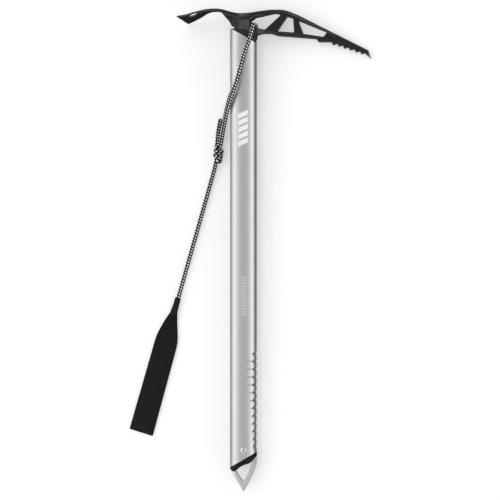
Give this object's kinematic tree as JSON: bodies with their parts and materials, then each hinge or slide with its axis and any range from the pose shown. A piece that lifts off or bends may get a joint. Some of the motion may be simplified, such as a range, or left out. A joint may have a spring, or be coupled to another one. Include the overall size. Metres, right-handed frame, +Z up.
{
  "type": "ice axe",
  "caption": "Straight-shafted ice axe with adze, toothed pick, dented grip, spike and a cord wrist leash, lying on its side.",
  "frame": {"origin": "middle of the axe's footprint on the floor, without the leash", "axes": "+Y along the shaft towards the head, +X towards the pick, +Z up"},
  "size_m": [0.3185, 0.6049, 0.0597],
  "materials": {
    "black_steel": "satin black coating on forged steel",
    "blasted_aluminium": "fine sandblasted, anodised satin",
    "spike_steel": "brushed stainless steel",
    "black_plastic": "moulded nylon",
    "rivet_metal": "satin rivet head",
    "cord": "braided sheath, black with white flecks",
    "neck_webbing": "stitched sleeve",
    "webbing": "flat woven webbing"
  },
  "bodies": {
    "axe": {"head": "black_steel", "shaft_tube": "blasted_aluminium", "spike": "spike_steel", "spike_plug": "black_plastic", "spike_rivet": "rivet_metal", "leash_strand_front": "cord", "leash_eye_turn": "cord", "leash_strand_back": "cord", "leash_tail": "cord", "leash_knot": "cord"},
    "leash": {"leash_run": "cord", "strap_neck": "neck_webbing", "wrist_strap": "webbing"}
  },
  "joints": [
    {"name": "leash_swing", "type": "hinge", "parent": "axe", "child": "leash", "pos_m": [-0.078, 0.1152, 0.0063], "axis": [0, 0, -1], "range_deg": [-12, 70]}
  ]
}
